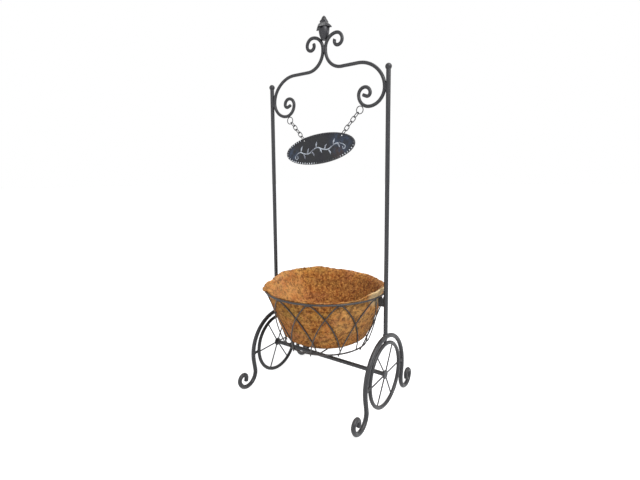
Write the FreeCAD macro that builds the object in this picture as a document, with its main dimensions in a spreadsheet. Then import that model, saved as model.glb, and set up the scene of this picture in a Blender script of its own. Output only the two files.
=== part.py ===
import FreeCAD, Part
import math
import os
import Sketcher
from FreeCAD import Placement, Rotation, Vector

# Plant stand: a bent rod frame on two fixed ornamental wheels, a hanging wire basket
# with a coco liner, and an oval sign on two chains under the scrolled top.
# Millimetres and degrees. X runs from wheel to wheel, the front is towards negative Y,
# Z is up, and the origin lies on the floor under the middle of the frame.

doc = FreeCAD.newDocument("plant_stand")

# Driving dimensions
SIZES = {
    # two upright posts with turned caps
    "post_spacing": 360.0,
    "post_diameter": 10.8,
    "post_top_height": 829.4,
    "cap_neck_diameter": 10.8,
    "cap_neck_height": 1.5,
    "cap_ball_diameter": 15.5,
    # leg rod: an arch over the wheel that turns out into two curled feet
    "leg_rod_diameter": 11.4,
    "leg_arch_radius": 102.5,
    "leg_arch_drop": 5.0,
    "leg_arch_angle": 10.0,
    "leg_straight": 25.0,
    "foot_heel_radius": 31.8,
    "foot_toe_radius": 28.5,
    "foot_toe_angle": 75.0,
    "foot_return_radius": 13.4,
    "foot_eye_radius": 11.0,
    "foot_eye_angle": 100.0,
    "foot_tail": 8.0,
    # wheels, fixed to the leg arches by studs, and the axle bar between them
    "wheel_gap": 23.0,
    "wheel_rim_diameter": 9.5,
    "hub_diameter": 21.5,
    "hub_width": 5.0,
    "hub_chamfer": 0.8,
    "spoke_diameter": 3.5,
    "stud_diameter": 7.0,
    "axle_diameter": 11.0,
    "axle_seat_wall": 2.0,
    "axle_fit": 0.05,
    # top scrolls, joined at a height above the posts
    "scroll_rod_diameter": 8.4,
    "scroll_join_height": 75.9,
    "scroll_join_length": 3.8,
    "scroll_fork_radius": 47.6,
    "scroll_shoulder_radius": 74.0,
    "scroll_shoulder_angle": 56.6,
    "scroll_drop_radius": 58.0,
    "scroll_outer_radius": 40.0,
    "scroll_middle_radius": 29.3,
    "scroll_inner_radius": 17.0,
    "scroll_eye_radius": 14.5,
    "scroll_end_radius": 7.7,
    "scroll_end_angle": 115.0,
    "scroll_tail": 9.0,
    "crown_outer_radius": 31.9,
    "crown_middle_radius": 17.8,
    "crown_inner_radius": 12.6,
    "crown_eye_radius": 10.1,
    "crown_eye_angle": 120.0,
    # leaf bud finial
    "finial_seat_radius": 6.2,
    "finial_neck_radius": 9.5,
    "finial_neck_height": 6.0,
    "finial_belly_radius": 13.4,
    "finial_belly_height": 21.0,
    "finial_root_radius": 10.5,
    "finial_root_height": 41.0,
    "finial_bud_radius": 7.0,
    "finial_bud_height": 50.0,
    "finial_tip_height": 59.4,
    "lower_leaf_reach": 24.0,
    "lower_leaf_valley": 14.5,
    "lower_leaf_tip_height": 28.0,
    "upper_leaf_reach": 11.5,
    "upper_leaf_valley": 8.5,
    "upper_leaf_tip_height": 44.0,
    "leaf_thickness": 3.4,
    "leaf_tip_thickness": 1.0,
    # wire basket
    "basket_rim_gap": 16.0,
    "basket_rim_height": 290.0,
    "basket_rim_wire": 4.5,
    "basket_ring_inset": 52.4,
    "basket_ring_height": 146.0,
    "basket_ring_wire": 4.0,
    "arch_wire": 3.0,
    "arch_top_radius": 12.5,
    "arch_top_angle": 50.0,
    "arch_foot_overrun": 2.5,
    "arch_foot_gap": 0.3,
    "floor_wire": 3.5,
    "floor_wire_offset": 50.0,
    "floor_wire_overhang": 3.0,
    # notched plates on the posts that carry the basket rim
    "hook_thickness": 2.5,
    "hook_height": 22.5,
    "hook_post_height": 13.5,
    "hook_nose": 1.8,
    "hook_lip_rise": 0.6,
    "hook_clearance": 0.4,
    # coco liner, its lip above the basket's rim
    "liner_floor_inset": 19.2,
    "liner_corner_inset": 0.2,
    "liner_corner_rise": 12.0,
    "liner_rim_inset": 5.1,
    "liner_lip_inset": 2.0,
    "liner_lip_height": 10.4,
    "liner_thickness": 9.0,
    "liner_lip_width": 5.0,
    "liner_clearance": 0.3,
    # rings under the scrolls and the chains on them
    "ring_radius": 9.2,
    "ring_wire": 2.2,
    "left_ring_angle": 19.2,
    "right_ring_angle": 36.3,
    "link_wire": 2.1,
    "link_half_width": 5.0,
    "link_clearance": 0.45,
    # hanging sign, its centre below the scrolls' join and its tilt as it hangs
    "sign_half_length": 110.5,
    "sign_half_height": 39.2,
    "sign_thickness": 3.2,
    "sign_offset": -18.4,
    "sign_drop": 246.3,
    "sign_tilt_angle": 6.3,
    "sign_bead_width": 2.6,
    "sign_bead_thickness": 4.4,
    "sign_hole_diameter": 5.4,
    "sign_left_hole": -46.0,
    "sign_right_hole": 74.0,
    "sign_hole_edge": 6.0,
    "sign_hole_clearance": 0.65,
}
QUARTER = 90.0
SPOKES = 6
# How far each spoke is welded off its even place, counted up from the back of the wheel
SPOKE_DRIFTS = {"left": (0.0, 1.0, 0.0, 1.7, 4.1, 4.3), "right": (2.2, 0.2, 5.2, 2.2, -2.8, -2.3)}
STUD_ANGLES = (0.0, 90.0, 180.0)
BASKET_ARCHES = 11
# How far each basket arch is welded off its even place around the rim
ARCH_DRIFTS = (0.0, 0.0, 0.0, 0.0, 2.0, 5.4, 3.3, -2.5, 0.0, 1.5, 0.0)
LINKS = 5
LEAVES = 4

sheet = doc.addObject("Spreadsheet::Sheet", "Sizes")
for row, (alias, value) in enumerate(SIZES.items(), start=1):
    sheet.set("A%d" % row, alias)
    sheet.set("B%d" % row, str(value))
    sheet.setAlias("B%d" % row, alias)
doc.recompute()


def size(alias):
    """A driving dimension as the sheet holds it."""
    return float(sheet.get(alias))


def rad(angle):
    return math.radians(angle)


# Sizes worked out from the driving ones
post_x = size("post_spacing") / 2
post_r = size("post_diameter") / 2
leg_r = size("leg_rod_diameter") / 2
scroll_r = size("scroll_rod_diameter") / 2
wheel_r = size("leg_arch_radius") - size("wheel_gap")
arch_angle = size("leg_arch_angle")
arch_top = size("leg_arch_radius") - size("leg_arch_drop")
hub_height = (size("leg_arch_drop") + size("leg_straight") * math.cos(rad(arch_angle))
              + (size("leg_arch_radius") + size("foot_heel_radius")) * math.sin(rad(arch_angle))
              + size("foot_heel_radius") + leg_r)
basket_r = post_x - size("basket_rim_gap")
bottom_r = basket_r - size("basket_ring_inset")

nodes = []


def node(thing, label):
    """Give a finished sub-part its name and put it on the list of pieces."""
    thing.Label = label
    nodes.append(thing)
    doc.recompute()
    return thing


def new_body(name):
    return doc.addObject("PartDesign::Body", name)


def origin_plane(body, role):
    return next(item for item in body.Origin.OriginFeatures if item.Role == role)


def new_sketch(body, name, role, offset=Vector(0, 0, 0)):
    sketch = body.newObject("Sketcher::SketchObject", name)
    sketch.AttachmentSupport = [(origin_plane(body, role), "")]
    sketch.MapMode = "FlatFace"
    sketch.AttachmentOffset = Placement(offset, Rotation())
    return sketch


def draw_circle(sketch, x, y, diameter_alias):
    """A circle whose diameter follows the sheet."""
    circle = Part.Circle(Vector(x, y, 0), Vector(0, 0, 1), size(diameter_alias) / 2)
    index = sketch.addGeometry(circle)
    name = "Diameter%d" % index
    number = sketch.addConstraint(Sketcher.Constraint("Diameter", index, size(diameter_alias)))
    sketch.renameConstraint(number, name)
    sketch.setExpression("Constraints." + name, "Sizes." + diameter_alias)
    return index


def draw_outline(sketch, points):
    """A closed outline through points; a point with a third entry is an arc's middle."""
    corners = [point for point in points if len(point) == 2]
    first = Vector(*corners[0], 0)
    here = first
    middle = None
    for point in points[1:] + [points[0]]:
        if len(point) == 3:
            middle = Vector(point[0], point[1], 0)
            continue
        there = Vector(*point, 0)
        if middle is None:
            sketch.addGeometry(Part.LineSegment(here, there))
        else:
            sketch.addGeometry(Part.Arc(here, middle, there))
        here = there
        middle = None


def draw_run(sketch, x, y, heading, bends):
    """Draw a bent rod's centre line: (None, length) is straight, (radius alias, turn) an arc.

    Each piece leaves the last one tangent to it, and a left turn is positive.
    Returns the end point and its heading.
    """
    before = None
    for radius_alias, amount in bends:
        if radius_alias is None:
            there = (x + amount * math.cos(rad(heading)), y + amount * math.sin(rad(heading)))
            index = sketch.addGeometry(Part.LineSegment(Vector(x, y, 0), Vector(*there, 0)))
            start, end = 1, 2
            x, y = there
        else:
            radius = size(radius_alias)
            side = math.copysign(1, amount)
            centre_x = x - side * radius * math.sin(rad(heading))
            centre_y = y + side * radius * math.cos(rad(heading))
            angle = math.atan2(y - centre_y, x - centre_x)
            last = angle + rad(amount)
            circle = Part.Circle(Vector(centre_x, centre_y, 0), Vector(0, 0, 1), radius)
            index = sketch.addGeometry(Part.ArcOfCircle(circle, min(angle, last), max(angle, last)))
            start, end = (1, 2) if side > 0 else (2, 1)
            name = "Bend%d" % index
            number = sketch.addConstraint(Sketcher.Constraint("Radius", index, radius))
            sketch.renameConstraint(number, name)
            sketch.setExpression("Constraints." + name, "Sizes." + radius_alias)
            x = centre_x + radius * math.cos(last)
            y = centre_y + radius * math.sin(last)
            heading += amount
        if before is not None:
            sketch.addConstraint(Sketcher.Constraint("Tangent", before[0], before[1], index, start))
        before = (index, end)
    return x, y, heading


def pipe(body, name, profile, spine):
    feature = body.newObject("PartDesign::AdditivePipe", name)
    feature.Profile = profile
    feature.Spine = spine
    return feature


def mirror_across(body, name, feature, role):
    mirrored = body.newObject("PartDesign::Mirrored", name)
    mirrored.Originals = [feature]
    mirrored.MirrorPlane = (origin_plane(body, role), [""])
    body.Tip = mirrored
    return mirrored


def revolve(body, kind, name, sketch, axis):
    """A full turn of a sketch about its own H_Axis or V_Axis; kind adds or removes."""
    feature = body.newObject("PartDesign::" + kind, name)
    feature.Profile = sketch
    feature.ReferenceAxis = (sketch, [axis])
    feature.Angle = 360
    return feature


def cope(body, name, radius, diameter_alias, centre=Vector(0, 0, 0)):
    """Shape a rod's end to the ring rod it meets, a ring square to the body's X axis."""
    sketch = new_sketch(body, name + "_section", "XZ_Plane", centre)
    draw_circle(sketch, 0, radius, diameter_alias)
    revolve(body, "Groove", name, sketch, "H_Axis")


def radial_rod(name, diameter_alias, start, length):
    """A round rod along its body's Z axis, from start outward."""
    body = new_body(name)
    section = new_sketch(body, name + "_section", "XY_Plane", Vector(0, 0, start))
    draw_circle(section, 0, 0, diameter_alias)
    pad = body.newObject("PartDesign::Pad", name + "_length")
    pad.Profile = section
    pad.Length = length
    return body


def ring(name, radius_formula, diameter_alias):
    torus = doc.addObject("Part::Torus", name)
    torus.setExpression("Radius1", radius_formula)
    torus.setExpression("Radius2", "Sizes.%s / 2" % diameter_alias)
    return torus


def sided(side):
    return "left" if side < 0 else "right"


# Posts and their caps
def make_post(side):
    name = sided(side) + "_post"
    start = size("leg_arch_radius")
    middle_z = hub_height - size("leg_arch_drop")
    body = radial_rod(name, "post_diameter", start, size("post_top_height") - middle_z - start)
    cope(body, name + "_saddle", start, "leg_rod_diameter")
    body.Placement = Placement(Vector(side * post_x, 0, middle_z), Rotation())
    node(body, name)


def make_cap(side):
    name = sided(side) + "_post_cap"
    body = new_body(name)
    profile = new_sketch(body, name + "_profile", "XZ_Plane")
    neck_r = size("cap_neck_diameter") / 2
    neck_top = size("cap_neck_height")
    ball_r = size("cap_ball_diameter") / 2
    centre = neck_top + math.sqrt(ball_r ** 2 - neck_r ** 2)
    draw_outline(profile, [(0, 0), (neck_r, 0), (neck_r, neck_top), (ball_r, centre, "arc"),
                           (0, centre + ball_r)])
    revolve(body, "Revolution", name + "_turning", profile, "V_Axis")
    body.Placement = Placement(Vector(side * post_x, 0, size("post_top_height")), Rotation())
    node(body, name)


# Legs: half a leg from the top of the arch to the eye of the curl, then its mirror image
def make_leg(side):
    name = sided(side) + "_leg"
    body = new_body(name)
    section = new_sketch(body, name + "_section", "XZ_Plane", Vector(0, arch_top, 0))
    draw_circle(section, 0, 0, "leg_rod_diameter")
    route = new_sketch(body, name + "_route", "YZ_Plane")
    draw_run(route, 0, arch_top, 0, [
        ("leg_arch_radius", -QUARTER - arch_angle),
        (None, size("leg_straight")),
        ("foot_heel_radius", QUARTER + arch_angle),
        ("foot_toe_radius", size("foot_toe_angle")),
        ("foot_return_radius", QUARTER - size("foot_toe_angle")),
        ("foot_return_radius", QUARTER),
        ("foot_eye_radius", size("foot_eye_angle")),
        (None, size("foot_tail")),
    ])
    half = pipe(body, name + "_half", section, route)
    mirror_across(body, name + "_whole", half, "XZ_Plane")
    body.Placement = Placement(Vector(side * post_x, 0, hub_height), Rotation())
    node(body, name)


# Wheels
def wheel_place(side, angle=0):
    """The hub centre, turned so that the body's Z axis points at an angle from the back."""
    return Placement(Vector(side * post_x, 0, hub_height), Rotation(Vector(1, 0, 0), angle - QUARTER))


def make_rim(side):
    name = sided(side) + "_wheel_rim"
    rim = ring(name, "Sizes.leg_arch_radius - Sizes.wheel_gap", "wheel_rim_diameter")
    rim.Placement = Placement(Vector(side * post_x, 0, hub_height), Rotation(Vector(0, 1, 0), QUARTER))
    node(rim, name)


def make_hub(side):
    """A short turned boss, bored blind from its inner side for the axle."""
    name = sided(side) + "_hub"
    body = new_body(name)
    profile = new_sketch(body, name + "_profile", "XZ_Plane")
    outer = size("hub_width") / 2
    radius = size("hub_diameter") / 2
    chamfer = size("hub_chamfer")
    bore = size("axle_diameter") / 2 + size("axle_fit")
    seat = outer - size("axle_seat_wall")
    draw_outline(profile, [(-outer, bore), (-outer, radius - chamfer), (chamfer - outer, radius),
                           (outer - chamfer, radius), (outer, radius - chamfer), (outer, 0),
                           (seat, 0), (seat, bore)])
    revolve(body, "Revolution", name + "_turning", profile, "H_Axis")
    body.Placement = Placement(Vector(side * post_x, 0, hub_height),
                               Rotation(Vector(0, 0, 1), 0 if side > 0 else 180))
    node(body, name)


def make_spoke(side, number):
    name = "%s_spoke_%d" % (sided(side), number + 1)
    start = size("hub_diameter") / 2
    body = radial_rod(name, "spoke_diameter", 0, wheel_r)
    cope(body, name + "_rim_end", wheel_r, "wheel_rim_diameter")
    hub_end = new_sketch(body, name + "_hub_side", "XZ_Plane")
    half = size("hub_width")
    draw_outline(hub_end, [(-half, 0), (half, 0), (half, start), (-half, start)])
    revolve(body, "Groove", name + "_hub_end", hub_end, "H_Axis")
    drift = SPOKE_DRIFTS[sided(side)][number]
    body.Placement = wheel_place(side, 360.0 / SPOKES * number + drift)
    node(body, name)


def make_studs(side):
    """Three round studs that weld the wheel rim to the inside of the leg arch."""
    name = sided(side) + "_wheel_studs"
    studs = []
    for angle in STUD_ANGLES:
        stud_name = "%s_stud_%d" % (sided(side), angle)
        rise = size("leg_arch_drop") * math.sin(rad(angle))
        aside = size("leg_arch_drop") * math.cos(rad(angle))
        reach = math.sqrt(size("leg_arch_radius") ** 2 - aside ** 2) - rise
        body = radial_rod(stud_name, "stud_diameter", wheel_r, reach - wheel_r)
        cope(body, stud_name + "_rim_end", wheel_r, "wheel_rim_diameter")
        cope(body, stud_name + "_arch_end", size("leg_arch_radius"), "leg_rod_diameter",
             Vector(0, -rise, -aside))
        body.Placement = wheel_place(side, angle)
        studs.append(body)
    group = doc.addObject("Part::Compound", name)
    group.Links = studs
    node(group, name)


def make_axle():
    axle = doc.addObject("Part::Cylinder", "axle")
    axle.setExpression("Radius", "Sizes.axle_diameter / 2")
    axle.setExpression("Height", "Sizes.post_spacing + Sizes.hub_width - 2 * Sizes.axle_seat_wall")
    reach = post_x + size("hub_width") / 2 - size("axle_seat_wall")
    axle.Placement = Placement(Vector(-reach, 0, hub_height), Rotation(Vector(0, 1, 0), QUARTER))
    node(axle, "axle")


# Top scrolls: the right one is bent from one rod, and the left one mirrors it
shoulder_turn = size("scroll_shoulder_angle")
scroll_reach = (size("scroll_fork_radius")
                + size("scroll_shoulder_radius") * math.sin(rad(shoulder_turn))
                + size("scroll_drop_radius") * (1 - math.sin(rad(shoulder_turn))))
scroll_straight = post_x - post_r - scroll_r - scroll_r - scroll_reach
scroll_low_x = post_x - post_r - scroll_r - size("scroll_outer_radius")
join_z = size("post_top_height") + size("scroll_join_height")
scroll_low_z = (join_z - size("scroll_fork_radius")
                - size("scroll_shoulder_radius") * (1 - math.cos(rad(shoulder_turn)))
                - size("scroll_drop_radius") * math.cos(rad(shoulder_turn))
                - size("scroll_outer_radius"))


def make_scrolls():
    body = new_body("right_top_scroll")
    height = join_z
    section = new_sketch(body, "scroll_section", "XY_Plane", Vector(scroll_r, 0, height))
    draw_circle(section, 0, 0, "scroll_rod_diameter")
    lower = new_sketch(body, "scroll_lower_route", "XZ_Plane")
    draw_run(lower, scroll_r, height, -QUARTER, [
        ("scroll_fork_radius", QUARTER),
        (None, scroll_straight),
        ("scroll_shoulder_radius", -shoulder_turn),
        ("scroll_drop_radius", shoulder_turn - QUARTER),
        ("scroll_outer_radius", -QUARTER),
        ("scroll_middle_radius", -QUARTER),
        ("scroll_inner_radius", -QUARTER),
        ("scroll_eye_radius", -QUARTER),
        ("scroll_end_radius", -size("scroll_end_angle")),
        (None, size("scroll_tail")),
    ])
    upper = new_sketch(body, "scroll_crown_route", "XZ_Plane")
    draw_run(upper, scroll_r, height, QUARTER, [
        (None, size("scroll_join_length")),
        ("crown_outer_radius", -QUARTER),
        ("crown_middle_radius", -QUARTER),
        ("crown_inner_radius", -QUARTER),
        ("crown_eye_radius", -size("crown_eye_angle")),
    ])
    pipe(body, "scroll_lower", section, lower)
    pipe(body, "scroll_crown", section, upper)
    node(body, "right_top_scroll")
    left = doc.addObject("Part::Mirroring", "left_top_scroll")
    left.Source = body
    left.Normal = Vector(1, 0, 0)
    node(left, "left_top_scroll")


# Finial: a turned leaf bud with two whorls of drooping leaves, seated between the crown curls
TIP_FULLNESS_SHARE = 0.72
LEAF_CREST_SHARE = 0.5
LEAF_ARCH_SHARE = 0.02


def leaf_whorl(name, root_radius, root_height, kind, turn):
    """A drooping skirt of even thickness, trimmed in plan to a star of pointed leaves."""
    reach = size(kind + "_leaf_reach")
    valley = size(kind + "_leaf_valley")
    tip_z = size(kind + "_leaf_tip_height")
    thick = size("leaf_thickness")
    edge = size("leaf_tip_thickness")
    body = new_body(name)
    skirt = new_sketch(body, name + "_profile", "XZ_Plane")
    crest_x = root_radius + LEAF_CREST_SHARE * (reach - root_radius)
    crest_z = root_height + LEAF_CREST_SHARE * (tip_z - root_height)
    arch = LEAF_ARCH_SHARE * (reach - root_radius)
    draw_outline(skirt, [
        (root_radius, root_height),
        (crest_x + arch, crest_z + arch, "arc"),
        (reach, tip_z),
        (reach - edge, tip_z - edge),
        (crest_x + arch - thick, crest_z + arch - thick, "arc"),
        (root_radius - thick, root_height - thick),
    ])
    revolve(body, "Revolution", name + "_skirt", skirt, "V_Axis")
    doc.recompute()
    plan = new_sketch(body, name + "_plan", "XY_Plane")
    points = []
    for index in range(LEAVES):
        tip = turn + rad(360.0 / LEAVES * index)
        for angle, radius in ((tip, reach), (tip + rad(180.0 / LEAVES), valley)):
            points.append((radius * math.cos(angle), radius * math.sin(angle)))
    draw_outline(plan, points)
    plan.addGeometry(Part.Circle(Vector(0, 0, 0), Vector(0, 0, 1), reach + thick))
    trim = body.newObject("PartDesign::Pocket", name + "_trim")
    trim.Profile = plan
    trim.Type = "ThroughAll"
    trim.Midplane = True
    return body


def make_finial():
    crown = size("crown_outer_radius") + scroll_r
    crown_z = join_z + size("scroll_join_length")
    seat_r = size("finial_seat_radius")
    seat_z = crown_z + math.sqrt(crown ** 2 - (crown - seat_r) ** 2)
    core = new_body("finial_core")
    profile = new_sketch(core, "finial_profile", "XZ_Plane")
    neck = (size("finial_neck_radius"), size("finial_neck_height"))
    root = (size("finial_root_radius"), size("finial_root_height"))
    bud = (size("finial_bud_radius"), size("finial_bud_height"))
    tip_z = size("finial_tip_height")
    draw_outline(profile, [
        (0, 0),
        (seat_r, 0),
        neck,
        (size("finial_belly_radius"), size("finial_belly_height"), "arc"),
        root,
        bud,
        (bud[0] * TIP_FULLNESS_SHARE, (bud[1] + tip_z) / 2, "arc"),
        (0, tip_z),
    ])
    revolve(core, "Revolution", "finial_turning", profile, "V_Axis")
    lower = leaf_whorl("lower_leaves", *root, "lower", 0)
    upper = leaf_whorl("upper_leaves", *bud, "upper", rad(180.0 / LEAVES))
    whole = doc.addObject("Part::MultiFuse", "finial")
    whole.Shapes = [core, lower, upper]
    whole.Placement = Placement(Vector(0, 0, seat_z), Rotation())
    node(whole, "finial")


# Wire basket
arch_half_step = rad(360.0 / BASKET_ARCHES)
arch_half_width = bottom_r * math.sin(arch_half_step)
arch_run = basket_r - bottom_r * math.cos(arch_half_step)
arch_drop_z = size("basket_rim_height") - size("basket_ring_height")
arch_slope = math.hypot(arch_run, arch_drop_z)
arch_lean = math.atan2(arch_run, arch_drop_z)
arch_apex = -(size("basket_rim_wire") + size("arch_wire")) / 2
arch_foot = -arch_slope - size("arch_foot_overrun")


def arch_side():
    """The side arc from the end of the top arc to the foot: its radius and its turn."""
    top = size("arch_top_radius")
    turn = rad(size("arch_top_angle"))
    across = arch_half_width - top * math.sin(turn)
    down = arch_apex - top * (1 - math.cos(turn)) - arch_foot
    half = math.atan2(down, across) - turn
    return math.hypot(across, down) / 2 / math.sin(half), math.degrees(2 * half)


def arch_twist():
    """How far an arch turns about its own middle, so that one foot passes outside the
    bottom ring, the other inside it, and neighbours pass each other where they cross."""
    lean = arch_lean
    heading = rad(size("arch_top_angle") + arch_side()[1])
    across = Vector(0, 1, 0)
    up = Vector(math.sin(lean), 0, math.cos(lean))
    outward = across.cross(up)
    foot = across * math.cos(heading) - up * math.sin(heading)
    ring_line = Vector(-math.sin(arch_half_step), math.cos(arch_half_step), 0)
    normal = ring_line.cross(foot)
    normal.normalize()
    apart = (size("basket_ring_wire") + size("arch_wire")) / 2 + size("arch_foot_gap")
    return math.degrees(math.asin(apart / abs(normal.dot(outward)) / arch_half_width))


def make_arch(number):
    name = "basket_arch_%02d" % (number + 1)
    body = new_body(name)
    section = new_sketch(body, name + "_section", "YZ_Plane", Vector(0, arch_apex, 0))
    draw_circle(section, 0, 0, "arch_wire")
    route = new_sketch(body, name + "_route", "XZ_Plane")
    radius, turn = arch_side()
    side_x, side_y, heading = draw_run(route, 0, arch_apex, 0,
                                       [("arch_top_radius", -size("arch_top_angle"))])
    middle_heading = rad(heading - turn / 2)
    centre = Vector(side_x + radius * math.sin(rad(heading)), side_y - radius * math.cos(rad(heading)), 0)
    middle = centre + Vector(-math.sin(middle_heading), math.cos(middle_heading), 0) * radius
    route.addGeometry(Part.Arc(Vector(side_x, side_y, 0), middle,
                               Vector(arch_half_width, arch_foot, 0)))
    half = pipe(body, name + "_half", section, route)
    mirror_across(body, name + "_whole", half, "YZ_Plane")
    azimuth = QUARTER + 360.0 / BASKET_ARCHES * number + ARCH_DRIFTS[number]
    turned = (Rotation(Vector(0, 0, 1), azimuth + QUARTER)
              * Rotation(Vector(1, 0, 0), math.degrees(arch_lean))
              * Rotation(Vector(0, 0, 1), arch_twist()))
    place = Vector(basket_r * math.cos(rad(azimuth)), basket_r * math.sin(rad(azimuth)),
                   size("basket_rim_height"))
    body.Placement = Placement(place, turned)
    node(body, name)


def make_basket_rings():
    rim_formula = "Sizes.post_spacing / 2 - Sizes.basket_rim_gap"
    rim = ring("basket_rim", rim_formula, "basket_rim_wire")
    rim.Placement = Placement(Vector(0, 0, size("basket_rim_height")), Rotation())
    node(rim, "basket_rim")
    bottom = ring("basket_bottom_ring", rim_formula + " - Sizes.basket_ring_inset", "basket_ring_wire")
    bottom.Placement = Placement(Vector(0, 0, size("basket_ring_height")), Rotation())
    node(bottom, "basket_bottom_ring")


floor_wire_z = size("basket_ring_height") + (size("basket_ring_wire") + size("floor_wire")) / 2


def make_floor_wires():
    """Two straight wires across the bottom ring, which carry the liner."""
    half = math.sqrt(bottom_r ** 2 - size("floor_wire_offset") ** 2)
    half += size("floor_wire_overhang")
    wires = []
    for side in (-1, 1):
        wire = doc.addObject("Part::Cylinder", "floor_wire_" + sided(side))
        wire.setExpression("Radius", "Sizes.floor_wire / 2")
        wire.Height = 2 * half
        wire.Placement = Placement(Vector(side * size("floor_wire_offset"), half, floor_wire_z),
                                   Rotation(Vector(1, 0, 0), QUARTER))
        wires.append(wire)
    group = doc.addObject("Part::Compound", "basket_floor_wires")
    group.Links = wires
    node(group, "basket_floor_wires")


# Notched plates, welded to the posts, in which the basket rim hangs
def make_hook(side):
    name = sided(side) + "_rim_hook"
    body = new_body(name)
    outline = new_sketch(body, name + "_outline", "XZ_Plane")
    seat = size("basket_rim_wire") / 2 + size("hook_clearance")
    inner = basket_r - seat
    nose_x = inner - size("hook_nose")
    base = -size("hook_height") - seat
    draw_outline(outline, [
        (nose_x, base),
        (post_x, base),
        (post_x, base + size("hook_post_height")),
        (basket_r + seat, 0),
        (basket_r, -seat, "arc"),
        (inner, 0),
        (inner, size("hook_lip_rise")),
        (nose_x, 0),
    ])
    pad = body.newObject("PartDesign::Pad", name + "_plate")
    pad.Profile = outline
    pad.Midplane = True
    pad.setExpression("Length", "Sizes.hook_thickness")
    doc.recompute()
    post_plan = new_sketch(body, name + "_post_plan", "XY_Plane")
    draw_circle(post_plan, post_x, 0, "post_diameter")
    notch = body.newObject("PartDesign::Pocket", name + "_post_fit")
    notch.Profile = post_plan
    notch.Type = "ThroughAll"
    notch.Midplane = True
    body.Placement = Placement(Vector(0, 0, size("basket_rim_height")),
                               Rotation(Vector(0, 0, 1), 0 if side > 0 else 180))
    node(body, name)


# Coco liner: an open bowl of even wall that stands on the floor wires
def make_liner():
    body = new_body("coco_liner")
    profile = new_sketch(body, "liner_profile", "XZ_Plane")
    base = floor_wire_z + size("floor_wire") / 2 + size("liner_clearance")
    wall = size("liner_thickness")
    corner_z = base + size("liner_corner_rise")
    rim_z = size("basket_rim_height")
    lip_z = rim_z + size("liner_lip_height")
    floor_x = bottom_r - size("liner_floor_inset")
    corner_x = bottom_r - size("liner_corner_inset")
    rim_x = basket_r - size("liner_rim_inset")
    lip_x = basket_r - size("liner_lip_inset")
    draw_outline(profile, [
        (0, base),
        (floor_x, base),
        (corner_x, corner_z),
        (rim_x, rim_z),
        (lip_x, lip_z),
        (lip_x - size("liner_lip_width"), lip_z),
        (rim_x - wall, rim_z),
        (corner_x - wall, corner_z + wall / 2),
        (floor_x, base + wall),
        (0, base + wall),
    ])
    revolve(body, "Revolution", "liner_form", profile, "V_Axis")
    node(body, "coco_liner")


# Hanging sign: where its parts are as it hangs
sign_z = join_z - size("sign_drop")


def sign_point(x, y):
    """A point of the sign's own plane, as seen on the stand."""
    tilt = rad(size("sign_tilt_angle"))
    return Vector(size("sign_offset") + x * math.cos(tilt) - y * math.sin(tilt), 0,
                  sign_z + x * math.sin(tilt) + y * math.cos(tilt))


def hole_place(side):
    """A hole's centre in the sign's plane, at the named depth below the edge."""
    x = size("sign_left_hole") if side < 0 else size("sign_right_hole")
    edge = size("sign_half_height") * math.sqrt(1 - (x / size("sign_half_length")) ** 2)
    return x, edge - size("sign_hole_edge")


def hole_wire(side):
    """The centre of the link wire on which a hole hangs."""
    x, y = hole_place(side)
    lift = (size("sign_hole_diameter") - size("link_wire")) / 2 - size("sign_hole_clearance")
    return sign_point(x, y) + Vector(0, 0, lift)


def ring_centre(side):
    """A ring's centre, where it touches the underside of its scroll."""
    lean = rad(size(sided(side) + "_ring_angle"))
    apart = (size("scroll_middle_radius") + scroll_r + size("ring_radius") + size("ring_wire") / 2)
    middle_z = scroll_low_z + size("scroll_middle_radius")
    return Vector(side * (scroll_low_x - apart * math.sin(lean)), 0, middle_z - apart * math.cos(lean))


def pull(side):
    """The line of a chain: its start on the ring's wire, its direction and its length."""
    centre = ring_centre(side)
    along = hole_wire(side) - centre
    length = along.Length - size("ring_radius")
    along.normalize()
    return centre + along * size("ring_radius"), along, length


def make_ring(side):
    name = sided(side) + "_hook_ring"
    eye = ring(name, "Sizes.ring_radius", "ring_wire")
    eye.Placement = Placement(ring_centre(side), Rotation(Vector(1, 0, 0), QUARTER))
    node(eye, name)


def make_link(side, number):
    """An oval wire link; odd links stand edge on to the sign, even ones lie in its plane."""
    name = "%s_chain_link_%d" % (sided(side), number + 1)
    start, along, length = pull(side)
    overlap = (size("link_wire") + size("link_wire")) / 2 + size("link_clearance")
    first_overlap = (size("ring_wire") + size("link_wire")) / 2 + size("link_clearance")
    pitch = (length + first_overlap + (LINKS - 1) * overlap) / LINKS
    half_width = size("link_half_width")
    straight = (pitch - 2 * half_width) / 2
    body = new_body(name)
    section = new_sketch(body, name + "_section", "XY_Plane", Vector(half_width, 0, 0))
    draw_circle(section, 0, 0, "link_wire")
    route = new_sketch(body, name + "_route", "XZ_Plane")
    draw_run(route, half_width, 0, QUARTER, [
        (None, straight),
        ("link_half_width", 180),
        (None, 2 * straight),
        ("link_half_width", 180),
        (None, straight),
    ])
    pipe(body, name + "_wire", section, route)
    middle = start + along * (pitch / 2 - first_overlap + number * (pitch - overlap))
    swing = math.degrees(math.atan2(-along.x, -along.z))
    quarter = QUARTER if number % 2 == 0 else 0
    turned = Rotation(Vector(0, 1, 0), swing) * Rotation(Vector(0, 0, 1), quarter)
    body.Placement = Placement(middle, turned)
    node(body, name)


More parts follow.
